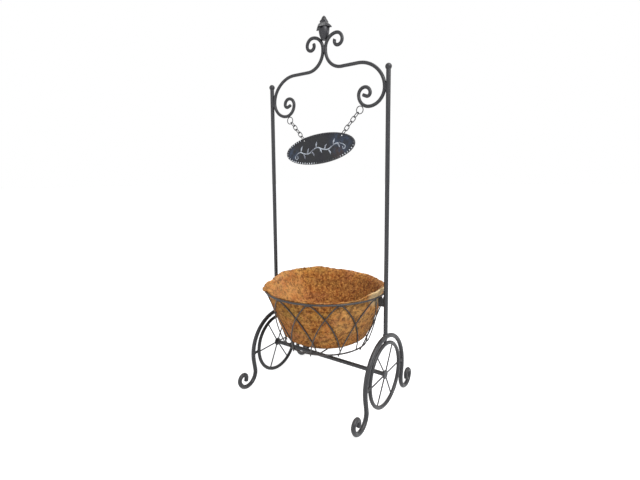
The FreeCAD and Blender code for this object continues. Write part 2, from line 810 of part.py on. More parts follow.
def make_sign():
    """An oval board with two holes, framed by a raised bead."""
    place = Placement(Vector(size("sign_offset"), 0, sign_z),
                      Rotation(Vector(0, 1, 0), -size("sign_tilt_angle")))
    long_half = size("sign_half_length")
    short_half = size("sign_half_height")
    bead = size("sign_bead_width")
    board = new_body("sign_board")
    outline = new_sketch(board, "board_outline", "XZ_Plane")
    outline.addGeometry(Part.Ellipse(Vector(0, 0, 0), long_half - bead, short_half - bead))
    pad = board.newObject("PartDesign::Pad", "board_pad")
    pad.Profile = outline
    pad.Midplane = True
    pad.setExpression("Length", "Sizes.sign_thickness")
    doc.recompute()
    holes = new_sketch(board, "board_holes_plan", "XZ_Plane")
    for side in (-1, 1):
        draw_circle(holes, *hole_place(side), "sign_hole_diameter")
    drill = board.newObject("PartDesign::Pocket", "board_holes")
    drill.Profile = holes
    drill.Type = "ThroughAll"
    drill.Midplane = True
    board.Placement = place
    node(board, "sign_board")
    frame = new_body("sign_bead")
    band = new_sketch(frame, "bead_outline", "XZ_Plane")
    band.addGeometry(Part.Ellipse(Vector(0, 0, 0), long_half, short_half))
    band.addGeometry(Part.Ellipse(Vector(0, 0, 0), long_half - bead, short_half - bead))
    raised = frame.newObject("PartDesign::Pad", "bead_pad")
    raised.Profile = band
    raised.Midplane = True
    raised.setExpression("Length", "Sizes.sign_bead_thickness")
    frame.Placement = place
    node(frame, "sign_bead")


for side in (-1, 1):
    make_post(side)
    make_cap(side)
    make_leg(side)
    make_rim(side)
    make_hub(side)
    for number in range(SPOKES):
        make_spoke(side, number)
    make_studs(side)
    make_hook(side)
    make_ring(side)
    for number in range(LINKS):
        make_link(side, number)
make_axle()
make_scrolls()
make_finial()
make_basket_rings()
for number in range(BASKET_ARCHES):
    make_arch(number)
make_floor_wires()
make_liner()
make_sign()
doc.recompute()

# Every object has to be sound before anything is written
for thing in doc.Objects:
    if "Invalid" in thing.State or "Error" in thing.State:
        raise RuntimeError("%s did not build: %s" % (thing.Name, thing.State))
for thing in nodes:
    if thing.Shape.isNull() or not thing.Shape.isValid() or not thing.Shape.Solids:
        raise RuntimeError("%s has no sound shape" % thing.Label)

os.makedirs("parts", exist_ok=True)
for thing in nodes:
    thing.Shape.exportStep("parts/%s.step" % thing.Label)
print("nodes", len(nodes), "hub height", hub_height)
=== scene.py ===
import math
import random

import bmesh
import bpy
from mathutils import Matrix, Vector, noise
from mathutils.bvhtree import BVHTree


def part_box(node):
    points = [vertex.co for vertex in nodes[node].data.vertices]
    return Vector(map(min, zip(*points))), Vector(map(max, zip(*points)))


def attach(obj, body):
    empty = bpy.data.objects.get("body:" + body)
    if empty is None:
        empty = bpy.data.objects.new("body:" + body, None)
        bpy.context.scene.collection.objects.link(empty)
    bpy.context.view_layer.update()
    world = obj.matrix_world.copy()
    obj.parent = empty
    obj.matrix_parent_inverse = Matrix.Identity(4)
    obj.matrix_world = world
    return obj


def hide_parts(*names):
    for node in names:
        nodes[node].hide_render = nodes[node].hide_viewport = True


# Plant stand: painted rod frame, wire basket with a coconut fibre liner, hanging oval sign.
# Metres. X runs from wheel to wheel, the front looks along -Y, Z is up from the floor.

# seeds, so that every run gives the same meshes
WELD_SEED = 7
FIBRE_SEED = 11
noise.seed_set(WELD_SEED)

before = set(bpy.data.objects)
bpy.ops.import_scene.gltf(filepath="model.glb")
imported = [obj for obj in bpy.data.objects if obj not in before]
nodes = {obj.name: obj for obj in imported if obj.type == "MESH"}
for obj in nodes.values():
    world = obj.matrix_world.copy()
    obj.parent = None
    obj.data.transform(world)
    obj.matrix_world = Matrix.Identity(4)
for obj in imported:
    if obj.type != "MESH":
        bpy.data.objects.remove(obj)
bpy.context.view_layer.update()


# Measures of the frame and the sign

def spot(across, back, up):
    """A place given in millimetres."""
    return Vector((across, back, up)) / 1000


def box_middle(name):
    low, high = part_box(name)
    return (Vector(low) + Vector(high)) / 2


def ring_size(name):
    """A level ring's radius, its height, and half of its wire's thickness."""
    low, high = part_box(name)
    wire = (high[2] - low[2]) / 2
    return high[0] - wire, (low[2] + high[2]) / 2, wire


HUB = box_middle("right_hub")
RIM_RADIUS, RIM_HEIGHT, RIM_WIRE = ring_size("basket_rim")
RING_RADIUS, RING_HEIGHT, _ = ring_size("basket_bottom_ring")

# half the leg's rod, how far its arch's middle lies below the hub, and its top above the hub
LEG_ROD = 0.0057
LEG_ARCH_DROP = 0.005
LEG_ARCH_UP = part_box("right_leg")[1][2] - HUB.z
LEG_ARCH_RADIUS = LEG_ARCH_UP + LEG_ARCH_DROP - LEG_ROD

SIGN_MIDDLE = box_middle("sign_board")
SIGN_TILT = math.radians(6.3)
SIGN_HALF_LENGTH = 0.1105
SIGN_HALF_HEIGHT = 0.0392
SIGN_FACE = -0.0016
SIGN_HOLES = (-0.046, 0.074)
SIGN_RIM_WIDTH = 0.0026
SIGN_RIM_THICKNESS = 0.0044


def on_sign(across, up, out=0.0):
    """A point of the sign's plane in millimetres from its middle, as it hangs."""
    turned = Matrix.Rotation(-SIGN_TILT, 3, "Y") @ spot(across, 0, up)
    return SIGN_MIDDLE + turned + Vector((0, out, 0))


# Node boards

class Board:
    """The node tree of one material or group, with short calls that place and join nodes."""

    def __init__(self, tree):
        self.tree = tree

    def add(self, kind, inputs=None, out=0, **settings):
        """Places a node, sets or joins its inputs, and returns one of its outputs."""
        node = self.tree.nodes.new(kind)
        for name, value in settings.items():
            setattr(node, name, value)
        for name, value in (inputs or {}).items():
            self.feed(node.inputs[name], value)
        return node.outputs[out]

    def feed(self, socket, value):
        if isinstance(value, bpy.types.NodeSocket):
            self.tree.links.new(value, socket)
        else:
            socket.default_value = value

    def place(self):
        """Where a point lies on the object."""
        return self.add("ShaderNodeTexCoord", out="Object")

    def noise(self, at, scale, detail=2.0, rough=0.5):
        return self.add("ShaderNodeTexNoise", {
            "Vector": at, "Scale": scale, "Detail": detail, "Roughness": rough})

    def calc(self, operation, first, second=0.0, clamp=False):
        return self.add("ShaderNodeMath", {0: first, 1: second},
                        operation=operation, use_clamp=clamp)

    def spread(self, value, low, high, to_low=0.0, to_high=1.0):
        """Stretches the part of a value between low and high over a new range."""
        return self.add("ShaderNodeMapRange", {
            "Value": value, "From Min": low, "From Max": high,
            "To Min": to_low, "To Max": to_high})

    def blend(self, mask, first, second):
        """Goes from the first colour to the second as the mask goes from 0 to 1."""
        return self.add("ShaderNodeMix", {0: mask, 6: first, 7: second},
                        out=2, data_type="RGBA")

    def near(self, at, middle, inner, outer):
        """1 within the inner radius of a point, fading to 0 at the outer one."""
        away = self.add("ShaderNodeVectorMath", {0: at, 1: tuple(middle)},
                        out="Value", operation="DISTANCE")
        return self.add("ShaderNodeMapRange", {
            "Value": away, "From Min": inner, "From Max": outer, "To Min": 1.0, "To Max": 0.0},
            interpolation_type="SMOOTHSTEP")

    def patches(self, at, spots):
        """Soft round patches, each (middle, strength, inner radius, outer radius)."""
        mask = 0.0
        for middle, strength, inner, outer in spots:
            patch = self.calc("MULTIPLY", strength, self.near(at, middle, inner, outer))
            mask = self.calc("MAXIMUM", mask, patch)
        return mask

    def bump(self, height, strength, depth):
        return self.add("ShaderNodeBump", {
            "Height": height, "Strength": strength, "Distance": depth})


def paint_tone(red, green, blue):
    """A colour in the eight-bit numbers of a paint chart, as the shader needs it."""
    linear = []
    for part in (red, green, blue):
        share = part / 255
        linear.append(share / 12.92 if share < 0.04045 else ((share + 0.055) / 1.055) ** 2.4)
    return (*linear, 1.0)


# Tones

CHARCOAL = paint_tone(36, 36, 40)
RUBBED_CHARCOAL = paint_tone(80, 79, 80)
CAST_CHARCOAL = paint_tone(34, 33, 38)
# the finial's rubbed tone: real wear, and partly a painted highlight in pale lavender grey
CAST_RUB_AND_HIGHLIGHT = paint_tone(126, 124, 132)
WIRE_CHARCOAL = paint_tone(50, 45, 44)
RUBBED_WIRE = paint_tone(92, 84, 78)
CHAIN_BLACK = paint_tone(44, 44, 48)
RUBBED_CHAIN = paint_tone(120, 119, 118)
DUST = paint_tone(132, 128, 124)

SLATE = paint_tone(27, 28, 31)
WASHED_SLATE = paint_tone(50, 50, 58)
BLUE_SLATE = paint_tone(58, 70, 90)
RUST = paint_tone(74, 50, 40)
RIM_DARK = paint_tone(42, 42, 46)
RUBBED_RIM = paint_tone(120, 122, 126)
# the pale crowns of the sign's edge: partly worn bare metal, partly a painted highlight on the
# flutes
BARE_AND_LIT_CROWN = paint_tone(232, 238, 244)
THIN_CHALK = paint_tone(96, 96, 110)
FULL_CHALK = paint_tone(206, 214, 224)

STRAW = paint_tone(231, 168, 90)
GINGER = paint_tone(194, 108, 38)
BARK = paint_tone(90, 44, 15)
STRAND_STRAW = paint_tone(230, 176, 104)
STRAND_GINGER = paint_tone(186, 112, 46)
OLIVE_COIR = paint_tone(178, 142, 62)
ROSY_COIR = paint_tone(220, 142, 100)
SHADED_COIR = paint_tone(150, 98, 54)
# painted light: coir tones for where the raised lip at the right and the outer walls catch the
# lamps
PAINTED_LIT_COIR = paint_tone(248, 206, 150)
PAINTED_HIGHLIGHT_COIR = paint_tone(255, 221, 166)


# Patches on the pieces: (middle, strength, inner radius, outer radius)

BLUE_WASHES = ((on_sign(-88, -2), 1.0, 0.004, 0.030), (on_sign(72, 6), 1.0, 0.012, 0.046))
RUST_PATCHES = ((on_sign(62, -22), 0.5, 0.006, 0.028),)
# stretches of the sign's edge whose crowns are worn and also carry a painted highlight
WORN_AND_LIT_EDGES = ((on_sign(-70, -38), 1.0, 0.040, 0.066), (on_sign(-76, 30), 1.0, 0.018, 0.040),
              (on_sign(88, -24), 1.0, 0.012, 0.034))
# painted shade: darker patches on the bowl's inner back and right walls, where the lamps leave it
# in shade
PAINTED_SHADE_PATCHES = ((spot(-45, 118, 235), 1.0, 0.030, 0.150), (spot(80, 105, 250), 1.0, 0.030, 0.130))
# painted light: pale patches on the lip at the right, the left wall and the right outer wall,
# where light falls
PAINTED_LIGHT_PATCHES = ((spot(160, 0, 306), 1.0, 0.024, 0.050),
                    (spot(-125, -20, 270), 0.08, 0.030, 0.110),
                    (spot(135, -75, 245), 0.05, 0.030, 0.080))


# Finishes

def new_group(name, takes, gives):
    """A node group with named inputs {name: (kind, value)} and outputs {name: kind}."""
    tree = bpy.data.node_groups.new(name, "ShaderNodeTree")
    for label, (kind, value) in takes.items():
        tree.interface.new_socket(label, in_out="INPUT", socket_type=kind).default_value = value
    for label, kind in gives.items():
        tree.interface.new_socket(label, in_out="OUTPUT", socket_type=kind)
    board = Board(tree)
    entry = tree.nodes.new("NodeGroupInput")
    leave = tree.nodes.new("NodeGroupOutput")
    return board, entry.outputs, leave.inputs


def use_group(board, name, inputs):
    """Places a group and returns its outputs."""
    node = board.tree.nodes.new("ShaderNodeGroup")
    node.node_tree = bpy.data.node_groups[name]
    for label, value in inputs.items():
        board.feed(node.inputs[label], value)
    return node.outputs


def new_finish(name, **constants):
    """A material with a Principled shader; constants are set on the shader's own sockets."""
    material = bpy.data.materials.new(name)
    material.use_nodes = True
    shader = material.node_tree.nodes["Principled BSDF"]
    for label, value in constants.items():
        shader.inputs[label.replace("_", " ")].default_value = value
    return material, Board(material.node_tree), shader.inputs


FLOAT = "NodeSocketFloat"
COLOUR = "NodeSocketColor"
VECTOR = "NodeSocketVector"


def group_satin_paint():
    """Sprayed satin paint on rod: a cloudy tone, fine peel, rubbed spots and a little dust."""
    board, take, give = new_group("satin_paint", {
        "Paint": (COLOUR, (0.02, 0.02, 0.02, 1)),
        "Rubbed": (COLOUR, (0.06, 0.06, 0.06, 1)),
        "Grain": (FLOAT, 1.0),
        "Rub": (FLOAT, 0.5),
        "Dust": (FLOAT, 0.3),
    }, {"Colour": COLOUR, "Roughness": FLOAT, "Height": FLOAT})
    at = board.place()
    cloud = board.noise(at, scale=38.0, detail=4.0, rough=0.6)
    peel = board.noise(at, board.calc("MULTIPLY", take["Grain"], 620.0), detail=2.0)
    spots = board.noise(at, board.calc("MULTIPLY", take["Grain"], 210.0), detail=4.0, rough=0.65)
    rubbed = board.spread(spots, 0.60, 0.68)
    rubbed = board.calc("MULTIPLY", rubbed, take["Rub"], clamp=True)
    facing = board.add("ShaderNodeNewGeometry", out="Normal")
    upward = board.add("ShaderNodeSeparateXYZ", {0: facing}, out="Z")
    settled = board.spread(upward, 0.25, 1.0)
    settled = board.calc("MULTIPLY", settled, board.spread(cloud, 0.35, 0.7))
    settled = board.calc("MULTIPLY", settled, take["Dust"], clamp=True)
    darker = board.blend(0.35, take["Paint"], (0, 0, 0, 1))
    tone = board.blend(board.spread(cloud, 0.32, 0.62), darker, take["Paint"])
    tone = board.blend(rubbed, tone, take["Rubbed"])
    tone = board.blend(settled, tone, DUST)
    board.feed(give["Colour"], tone)
    rough = board.spread(cloud, 0.3, 0.7, 0.36, 0.56)
    rough = board.calc("ADD", rough, board.calc("MULTIPLY", settled, 0.4), clamp=True)
    board.feed(give["Roughness"], rough)
    relief = board.calc("SUBTRACT", board.calc("MULTIPLY", peel, 0.5), rubbed)
    board.feed(give["Height"], relief)


def group_fibre_layer():
    """Long fine fibres that all run one way, a little wavy."""
    board, take, give = new_group("fibre_layer", {
        "Place": (VECTOR, (0, 0, 0)),
        "Turn": (VECTOR, (0, 0, 0)),
        "Fineness": (FLOAT, 500.0),
    }, {"Fibres": FLOAT})
    sway = board.add("ShaderNodeTexNoise", {
        "Vector": take["Place"], "Scale": 42.0, "Detail": 1.0}, out="Color")
    sway = board.add("ShaderNodeVectorMath", {0: sway, 1: (0.5, 0.5, 0.5)}, operation="SUBTRACT")
    sway = board.add("ShaderNodeVectorMath", {0: sway, "Scale": 0.011}, operation="SCALE")
    bent = board.add("ShaderNodeVectorMath", {0: take["Place"], 1: sway}, operation="ADD")
    turned = board.add("ShaderNodeVectorRotate", {"Vector": bent, "Rotation": take["Turn"]},
                       rotation_type="EULER_XYZ")
    drawn = board.add("ShaderNodeVectorMath", {0: turned, 1: (1.0, 0.055, 1.0)},
                      operation="MULTIPLY")
    fibres = board.noise(drawn, scale=take["Fineness"], detail=1.5)
    board.feed(give["Fibres"], board.spread(fibres, 0.42, 0.66))


def group_coir():
    """Pressed coconut fibre: crossing fibre layers over straw, ginger and bark-brown blotches."""
    board, take, give = new_group("coir_mat", {
        "Straw": (COLOUR, (0.6, 0.4, 0.2, 1)),
        "Ginger": (COLOUR, (0.4, 0.2, 0.06, 1)),
        "Bark": (COLOUR, (0.15, 0.06, 0.02, 1)),
        "Fineness": (FLOAT, 420.0),
        "PaintedShade": (FLOAT, 0.0),
        "PaintedLight": (FLOAT, 0.0),
    }, {"Colour": COLOUR, "Roughness": FLOAT, "Height": FLOAT})
    at = board.place()
    layers = []
    for turn in ((0.4, 0.2, 0.5), (1.2, 0.3, -0.7), (0.1, 1.0, 1.6), (0.7, -0.8, 2.3)):
        layers.append(use_group(board, "fibre_layer", {
            "Place": at, "Turn": turn, "Fineness": take["Fineness"]})["Fibres"])
    over = board.calc("MAXIMUM", layers[0], layers[1])
    under = board.calc("MAXIMUM", layers[2], layers[3])
    fibres = board.calc("MAXIMUM", over, board.calc("MULTIPLY", under, 0.8))
    patch = board.noise(at, scale=30.0, detail=3.0, rough=0.6)
    clump = board.noise(at, scale=105.0, detail=4.0, rough=0.62)
    fleck = board.noise(at, scale=240.0, detail=3.0, rough=0.65)
    pale = board.noise(at, scale=150.0, detail=3.0, rough=0.6)
    warm = board.blend(board.spread(patch, 0.36, 0.64, 0.1, 0.85), take["Straw"],
                       take["Ginger"])
    olive = board.spread(board.noise(at, scale=16.0, detail=3.0), 0.50, 0.64, 0.0, 0.45)
    warm = board.blend(olive, warm, OLIVE_COIR)
    rose = board.spread(board.noise(at, scale=21.0, detail=3.0), 0.52, 0.66, 0.0, 0.45)
    warm = board.blend(rose, warm, ROSY_COIR)
    # painted shade: the shaded inner walls are darkened towards a shaded coir tone and bark brown
    warm = board.blend(board.calc("MULTIPLY", take["PaintedShade"], 0.5), warm, SHADED_COIR)
    warm = board.blend(board.spread(clump, 0.46, 0.60, 0.0, 0.68), warm, take["Bark"])
    warm = board.blend(board.calc("MULTIPLY", take["PaintedShade"], 0.15), warm, take["Bark"])
    lit = board.calc("MULTIPLY", board.spread(pale, 0.52, 0.64), 0.7, clamp=True)
    warm = board.blend(lit, warm, take["Straw"])
    # painted light: the lit patches are lifted to a pale coir tone
    warm = board.blend(take["PaintedLight"], warm, PAINTED_LIT_COIR)
    dark = board.calc("MULTIPLY", board.spread(fleck, 0.52, 0.62),
                      board.spread(clump, 0.36, 0.54), clamp=True)
    warm = board.blend(board.calc("MULTIPLY", dark, 0.65), warm, take["Bark"])
    gaps = board.spread(fibres, 0.0, 0.5, 0.5, 0.0)
    tone = board.blend(gaps, warm, take["Bark"])
    # painted highlight: the lit patches are made paler still, over the fibre gaps too
    tone = board.blend(board.calc("MULTIPLY", take["PaintedLight"], 0.85), tone, PAINTED_HIGHLIGHT_COIR)
    board.feed(give["Colour"], tone)
    board.feed(give["Roughness"], board.spread(fibres, 0.0, 1.0, 0.95, 0.78))
    board.feed(give["Height"], board.calc("ADD", fibres, board.calc("MULTIPLY", clump, 1.2)))


def group_weathering():
    """Worn paint: soft blotches of a second tone over the first."""
    board, take, give = new_group("weathering", {
        "Fresh": (COLOUR, (0.02, 0.02, 0.02, 1)),
        "Washed": (COLOUR, (0.05, 0.06, 0.08, 1)),
        "Amount": (FLOAT, 0.6),
    }, {"Colour": COLOUR, "Mask": FLOAT})
    at = board.place()
    blotch = board.noise(at, scale=36.0, detail=5.0, rough=0.65)
    scour = board.noise(at, scale=320.0, detail=3.0, rough=0.6)
    mask = board.spread(blotch, 0.44, 0.66)
    mask = board.calc("MULTIPLY", mask, board.spread(scour, 0.3, 0.7, 0.45, 1.0))
    mask = board.calc("MULTIPLY", mask, take["Amount"], clamp=True)
    board.feed(give["Colour"], board.blend(mask, take["Fresh"], take["Washed"]))
    board.feed(give["Mask"], mask)


def painted_metal(name, paint, rubbed, grain=1.0, rub=0.5, dust=0.3, relief=0.25):
    """Satin paint over steel."""
    material, board, shader = new_finish(name, Specular_IOR_Level=0.5)
    skin = use_group(board, "satin_paint", {
        "Paint": paint, "Rubbed": rubbed, "Grain": grain, "Rub": rub, "Dust": dust})
    board.feed(shader["Base Color"], skin["Colour"])
    board.feed(shader["Roughness"], skin["Roughness"])
    board.feed(shader["Normal"], board.bump(skin["Height"], relief, 0.0004))
    return material


def bare_chain_wire():
    """Blackened steel wire whose links have rubbed each other bright."""
    material, board, shader = new_finish("chain_wire", Specular_IOR_Level=0.5)
    skin = use_group(board, "satin_paint", {
        "Paint": CHAIN_BLACK, "Rubbed": RUBBED_CHAIN, "Grain": 1.6, "Rub": 0.7, "Dust": 0.1})
    board.feed(shader["Base Color"], skin["Colour"])
    board.feed(shader["Roughness"], skin["Roughness"])
    board.feed(shader["Metallic"], board.spread(skin["Height"], -0.4, 0.2, 0.8, 0.1))
    board.feed(shader["Normal"], board.bump(skin["Height"], 0.3, 0.0003))
    return material


def slate_paint():
    """The sign's dark board: bluish washes at both ends, and a rusty patch low on its right."""
    material, board, shader = new_finish("slate_paint", Specular_IOR_Level=0.35)
    washed = use_group(board, "weathering", {
        "Fresh": SLATE, "Washed": WASHED_SLATE, "Amount": 0.6})
    at = board.place()
    uneven = board.spread(board.noise(at, scale=75.0, detail=4.0), 0.34, 0.62)
    blue = board.calc("MULTIPLY", board.patches(at, BLUE_WASHES), uneven, clamp=True)
    tone = board.blend(blue, washed["Colour"], BLUE_SLATE)
    flaked = board.spread(board.noise(at, scale=110.0, detail=4.0), 0.36, 0.56)
    rust = board.calc("MULTIPLY", board.patches(at, RUST_PATCHES), flaked, clamp=True)
    tone = board.blend(rust, tone, RUST)
    board.feed(shader["Base Color"], tone)
    board.feed(shader["Roughness"], board.spread(washed["Mask"], 0.0, 0.7, 0.55, 0.8))
    tooth = board.noise(at, scale=520.0, detail=3.0)
    board.feed(shader["Normal"], board.bump(tooth, 0.3, 0.0004))
    return material


# how far from the board's plane, Y = 0, the crowns of the edge's flutes start and are palest, as
# bare metal and painted highlight
CROWN_START = SIGN_RIM_THICKNESS / 2 + 0.00002
CROWN_FULL = SIGN_RIM_THICKNESS / 2 + 0.00014


def fluted_rim_paint():
    """Dark paint on the sign's fluted edge, worn to pale metal on stretches of the crowns, with a
    painted highlight on the crowns there.
    """
    material, board, shader = new_finish("fluted_rim_paint", Specular_IOR_Level=0.5)
    skin = use_group(board, "satin_paint", {
        "Paint": RIM_DARK, "Rubbed": RUBBED_RIM, "Grain": 0.55, "Rub": 0.6, "Dust": 0.2})
    at = board.place()
    out = board.add("ShaderNodeSeparateXYZ", {0: at}, out="Y")
    crown = board.spread(board.calc("ABSOLUTE", out), CROWN_START, CROWN_FULL)
    patchy = board.spread(board.noise(at, scale=160.0), 0.26, 0.42)
    # painted highlight: the fronts of the crowns in these stretches go near white, partly as wear
    worn = board.calc("MULTIPLY", board.patches(at, WORN_AND_LIT_EDGES), patchy, clamp=True)
    worn = board.calc("MULTIPLY", worn, crown, clamp=True)
    board.feed(shader["Base Color"], board.blend(worn, skin["Colour"], BARE_AND_LIT_CROWN))
    board.feed(shader["Roughness"], skin["Roughness"])
    board.feed(shader["Normal"], board.bump(skin["Height"], 0.3, 0.0003))
    return material


def brushed_flourish():
    """Pale chalky paint, put on with a dry brush so that the board shows through it."""
    material, board, shader = new_finish("flourish_paint", Specular_IOR_Level=0.25)
    at = board.place()
    hairs = use_group(board, "fibre_layer", {
        "Place": at, "Turn": (0.0, 0.4, 0.0), "Fineness": 900.0})["Fibres"]
    thin = board.spread(board.noise(at, scale=60.0, detail=3.0), 0.38, 0.6)
    cover = board.spread(board.calc("ADD", hairs, thin), 0.2, 1.1)
    board.feed(shader["Base Color"], board.blend(cover, THIN_CHALK, FULL_CHALK))
    board.feed(shader["Roughness"], board.spread(cover, 0.0, 1.0, 0.9, 0.7))
    board.feed(shader["Normal"], board.bump(hairs, 0.35, 0.0003))
    return material


def coir(name, straw, ginger, fineness, depth):
    """Coconut fibre with patches of painted shade and painted light; depth is the height of its
    relief.
    """
    material, board, shader = new_finish(name, Specular_IOR_Level=0.12, Sheen_Weight=0.05,
                                         Sheen_Roughness=0.6)
    at = board.place()
    mat = use_group(board, "coir_mat", {
        "Straw": straw, "Ginger": ginger, "Bark": BARK, "Fineness": fineness,
        "PaintedShade": board.patches(at, PAINTED_SHADE_PATCHES), "PaintedLight": board.patches(at, PAINTED_LIGHT_PATCHES)})
    board.feed(shader["Base Color"], mat["Colour"])
    board.feed(shader["Roughness"], mat["Roughness"])
    board.feed(shader["Normal"], board.bump(mat["Height"], 0.8, depth))
    return material


group_satin_paint()
group_fibre_layer()
group_coir()
group_weathering()

frame_paint = painted_metal("frame_paint", CHARCOAL, RUBBED_CHARCOAL)
# on the finial the strong pale rubbed spots partly stand for painted highlights
cast_paint = painted_metal("cast_paint", CAST_CHARCOAL, CAST_RUB_AND_HIGHLIGHT, grain=0.5, rub=0.9,
                           dust=0.5, relief=0.5)
wire_paint = painted_metal("wire_paint", WIRE_CHARCOAL, RUBBED_WIRE, grain=1.5, rub=0.4,
                           dust=0.15)
weld_paint = painted_metal("weld_paint", CHARCOAL, RUBBED_CHARCOAL, grain=1.8, rub=0.3,
                           dust=0.2, relief=0.6)
chain_wire = bare_chain_wire()
board_paint = slate_paint()
rim_paint = fluted_rim_paint()
flourish_paint = brushed_flourish()
coir_mat = coir("coir_mat", STRAW, GINGER, fineness=420.0, depth=0.0012)
coir_strand = coir("coir_strand", STRAND_STRAW, STRAND_GINGER, fineness=700.0, depth=0.0003)


# CAD nodes

def node_finish(name):
    """The finish of a carried-over piece, from its name."""
    if name == "finial":
        return cast_paint
    if name.startswith("basket"):
        return wire_paint
    if "chain_link" in name or "hook_ring" in name:
        return chain_wire
    if name == "sign_board":
        return board_paint
    if name == "sign_bead":
        return rim_paint
    if name == "coco_liner":
        return coir_mat
    return frame_paint


for name, piece in nodes.items():
    for slot in piece.material_slots:
        slot.material = node_finish(name)


# Making pieces

def add_piece(name, mesh, body, material, stands_for=()):
    """Puts a finished mesh in the scene as a piece of the object."""
    piece = bpy.data.objects.new(name, mesh)
    bpy.context.scene.collection.objects.link(piece)
    mesh.materials.clear()
    mesh.materials.append(material)
    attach(piece, body)
    if stands_for:
        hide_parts(*stands_for)
    return piece


def mesh_of(bm, name, smooth=True):
    """Turns a bmesh into a mesh with soft or flat faces."""
    for face in bm.faces:
        face.smooth = smooth
    mesh = bpy.data.meshes.new(name)
    bm.to_mesh(mesh)
    bm.free()
    return mesh


def strokes_mesh(name, strokes, thickness_resolution=1):
    """A mesh of smooth tapered strokes; each is a list of (point, half thickness)."""
    curve = bpy.data.curves.new(name, "CURVE")
    curve.dimensions = "3D"
    curve.bevel_depth = 1.0
    curve.bevel_resolution = thickness_resolution
    curve.use_fill_caps = True
    for stroke in strokes:
        spline = curve.splines.new("NURBS")
        spline.points.add(len(stroke) - 1)
        for target, (point, half) in zip(spline.points, stroke):
            target.co = (*point, 1.0)
            target.radius = half
        spline.order_u = 3
        spline.use_endpoint_u = True
        spline.resolution_u = 3
    holder = bpy.data.objects.new(name, curve)
    mesh = bpy.data.meshes.new_from_object(holder)
    bpy.data.objects.remove(holder)
    bpy.data.curves.remove(curve)
    mesh.name = name
    return mesh


# Coir liner

LINER_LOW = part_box("coco_liner")[0][2] + 0.0001
LINER_FLOOR_RADIUS = RING_RADIUS - 0.0212
LINER_CORNER = (RING_RADIUS - 0.0010, LINER_LOW + 0.0123)
LINER_AT_RIM = (RIM_RADIUS - 0.0056, RIM_HEIGHT)
LINER_LIP_RADIUS = RIM_RADIUS - 0.0025
LINER_WALL = 0.0088
LINER_LIP_WALL = 0.0048
LINER_STEPS = 300
LINER_SOFTENINGS = 2
# above this height the wall starts to follow the lip's line
SHOULDER = RIM_HEIGHT - 0.0126
# points closer together than this are one point
SAME_PLACE = 1e-5
# a point closer to the bowl's axis than this lies on it
ON_AXIS = 1e-6

# the lip's height above the rim wire all the way round: (degrees from +X, height)
LIP_LINE = ((-90, 0.0042), (-55, 0.0036), (-28, 0.0042), (-8, 0.0165), (12, 0.0170), (50, 0.0040),
            (80, 0.0074), (110, 0.0114), (130, 0.0179), (150, 0.0179), (180, 0.0184),
            (190, 0.0130), (203, 0.0068), (225, 0.0036), (250, 0.0040), (270, 0.0042))
LIP_LOW = RIM_HEIGHT + LIP_LINE[0][1]
# how far the lip leans out over the wire: (degrees from +X, distance)
LEAN_LINE = ((-90, 0.0), (-24, 0.0), (-6, 0.0022), (0, 0.0), (8, 0.0030), (60, 0.0010),
             (120, 0.0020), (150, 0.0), (176, -0.0040), (200, -0.0040), (236, 0.0), (270, 0.0))
# the lean begins this far above the rim wire's middle, and is full after the second distance
LEAN_FROM = 0.0024
LEAN_FULL_AFTER = 0.0016
# how much a high lip flares
FLARE = 0.32
# where the lip is pressed down over the wire: (degrees from +X, share of the whole fold)
FOLD_LINE = ((-90, 0.0), (199, 0.0), (208, 0.8), (214, 1.0), (230, 1.0), (240, 0.0), (270, 0.0))
# the whole fold's turn, its inside radius round the wire, its thickness and its length
FOLD_TURN = math.radians(150)
FOLD_ROOM = RIM_WIRE + 0.0006
FOLD_WALL = 0.0019
FOLD_REACH = 0.0112
# how many times more ragged a folded lip is, and how quickly the lip goes over to the fold
FOLD_RAGGEDNESS = 2.0
FOLD_START = 5.0

# the fibre's unevenness: (fineness, amount) of each layer of noise
LIP_RAGGEDNESS = ((6.0, 0.0014), (19.0, 0.0014), (47.0, 0.0011))
LUMPS = ((34.0, 0.6), (90.0, 0.4))
FINE_GRAIN = ((240.0, 1.0),)
FLOOR_GRAIN = ((60.0, 0.0012),)
# how far lumps and grain move the wall, and how far all of it moves
INSIDE_LUMPS = 0.0026
INSIDE_GRAIN = 0.0009
INSIDE_SHIFT = -0.0006
OUTSIDE_LUMPS = 0.0012
OUTSIDE_GRAIN = 0.0006
OUTSIDE_SHIFT = -0.0004


def layered(at, layers):
    """Noise at a point, added up from layers of (fineness, amount)."""
    return sum(noise.noise(at * fineness) * amount for fineness, amount in layers)


def held(value):
    """The value, kept between 0 and 1."""
    return min(1.0, max(0.0, value))


def level_way(at):
    """The level direction from the bowl's axis to a point."""
    return Vector((at.x, at.y, 0)).normalized()


def along_line(line, angle):
    """The value at an angle in degrees of a line given all the way round."""
    angle = (angle + 90) % 360 - 90
    for (start, low), (end, high) in zip(line, line[1:]):
        if start <= angle <= end:
            share = (angle - start) / (end - start)
            share = share * share * (3 - 2 * share)
            return low + (high - low) * share
    return line[0][1]


